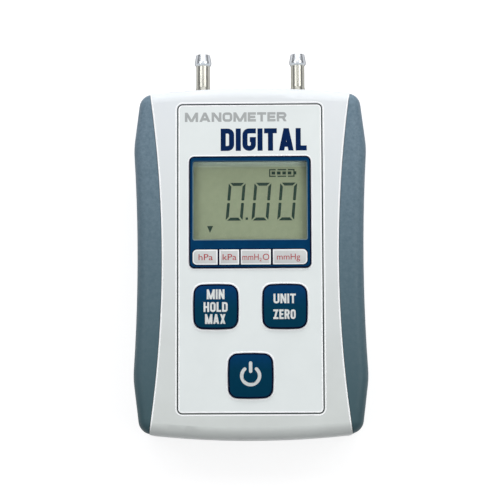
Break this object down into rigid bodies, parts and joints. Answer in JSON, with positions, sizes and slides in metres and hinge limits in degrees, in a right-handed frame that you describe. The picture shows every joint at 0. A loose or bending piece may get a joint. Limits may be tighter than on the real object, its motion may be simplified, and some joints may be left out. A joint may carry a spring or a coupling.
{
  "type": "digital manometer",
  "caption": "Handheld digital pressure meter with a waisted case, soft side grips, framed display, square keys and barbed hose ports on the end.",
  "frame": {"origin": "middle of the flat rear face, on which the meter lies", "axes": "+Z out of the display, +Y along the case towards the hose ports, +X to the right as the display is read"},
  "size_m": [0.0804, 0.1364, 0.0329],
  "materials": {
    "case_plastic": "moulded light grey-white plastic with a fine satin texture",
    "soft_grip": "soft slate blue-grey overmould with a fine grain",
    "label_film": "thin printed film, satin",
    "mask_print": "navy moulded frame round the display, satin",
    "clear_window": "clear acrylic window",
    "lcd_glass": "liquid crystal display cell with polarisers, grey-green",
    "reflector_film": "matt silver-green reflector film",
    "holder_plastic": "black moulded plastic",
    "contact_rubber": "layered conductive silicone strip",
    "key_plastic": "navy moulded keycap, satin",
    "switch_plastic": "black switch plastic",
    "board_laminate": "green glass-fibre circuit board",
    "chip_plastic": "black epoxy package",
    "capacitor_ceramic": "tan ceramic",
    "crystal_can": "plain metal can",
    "screw_steel": "zinc-plated steel",
    "port_metal": "nickel-plated brass",
    "nut_metal": "plain brass",
    "seal_rubber": "black nitrile washer",
    "tube_rubber": "milky silicone tube",
    "sensor_plastic": "white sensor package",
    "cell_can": "plain sleeved steel battery cell",
    "contact_metal": "nickel-plated spring steel"
  },
  "bodies": {
    "case": {"front_cover": "case_plastic", "rear_cover": "case_plastic", "right_grip": "soft_grip", "left_grip": "soft_grip", "front_label": "label_film", "display_mask": "mask_print", "display_window": "clear_window", "lcd_cell": "lcd_glass", "lcd_reflector": "reflector_film", "lcd_frame": "holder_plastic", "upper_contact_strip": "contact_rubber", "lower_contact_strip": "contact_rubber", "left_key_switch": "switch_plastic", "right_key_switch": "switch_plastic", "power_key_switch": "switch_plastic", "circuit_board": "board_laminate", "processor_chip": "chip_plastic", "converter_chip": "chip_plastic", "capacitors": "capacitor_ceramic", "resistors": "chip_plastic", "crystal": "crystal_can", "case_screws": "screw_steel", "board_screws": "screw_steel", "left_port": "port_metal", "right_port": "port_metal", "left_port_nut": "nut_metal", "right_port_nut": "nut_metal", "left_port_seal": "seal_rubber", "right_port_seal": "seal_rubber", "left_sensor_tube": "tube_rubber", "right_sensor_tube": "tube_rubber", "pressure_sensor": "sensor_plastic", "left_battery_cell": "cell_can", "right_battery_cell": "cell_can", "positive_contact": "contact_metal", "negative_contact": "contact_metal", "bridge_contact": "contact_metal"},
    "left_key_unit": {"left_key": "key_plastic", "left_key_plunger": "switch_plastic"},
    "right_key_unit": {"right_key": "key_plastic", "right_key_plunger": "switch_plastic"},
    "power_key_unit": {"power_key": "key_plastic", "power_key_plunger": "switch_plastic"},
    "door": {"battery_door": "case_plastic"}
  },
  "joints": [
    {"name": "left_key_press", "type": "slide", "parent": "case", "child": "left_key_unit", "axis": [0, 0, -1], "range_m": [0, 0.0005], "stiffness_N_per_m": 400, "springref_m": -0.0025},
    {"name": "right_key_press", "type": "slide", "parent": "case", "child": "right_key_unit", "axis": [0, 0, -1], "range_m": [0, 0.0005], "stiffness_N_per_m": 400, "springref_m": -0.0025},
    {"name": "power_key_press", "type": "slide", "parent": "case", "child": "power_key_unit", "axis": [0, 0, -1], "range_m": [0, 0.0005], "stiffness_N_per_m": 400, "springref_m": -0.0025},
    {"name": "battery_door_slide", "type": "slide", "parent": "case", "child": "door", "axis": [0, -1, 0], "range_m": [0, 0.062]}
  ]
}
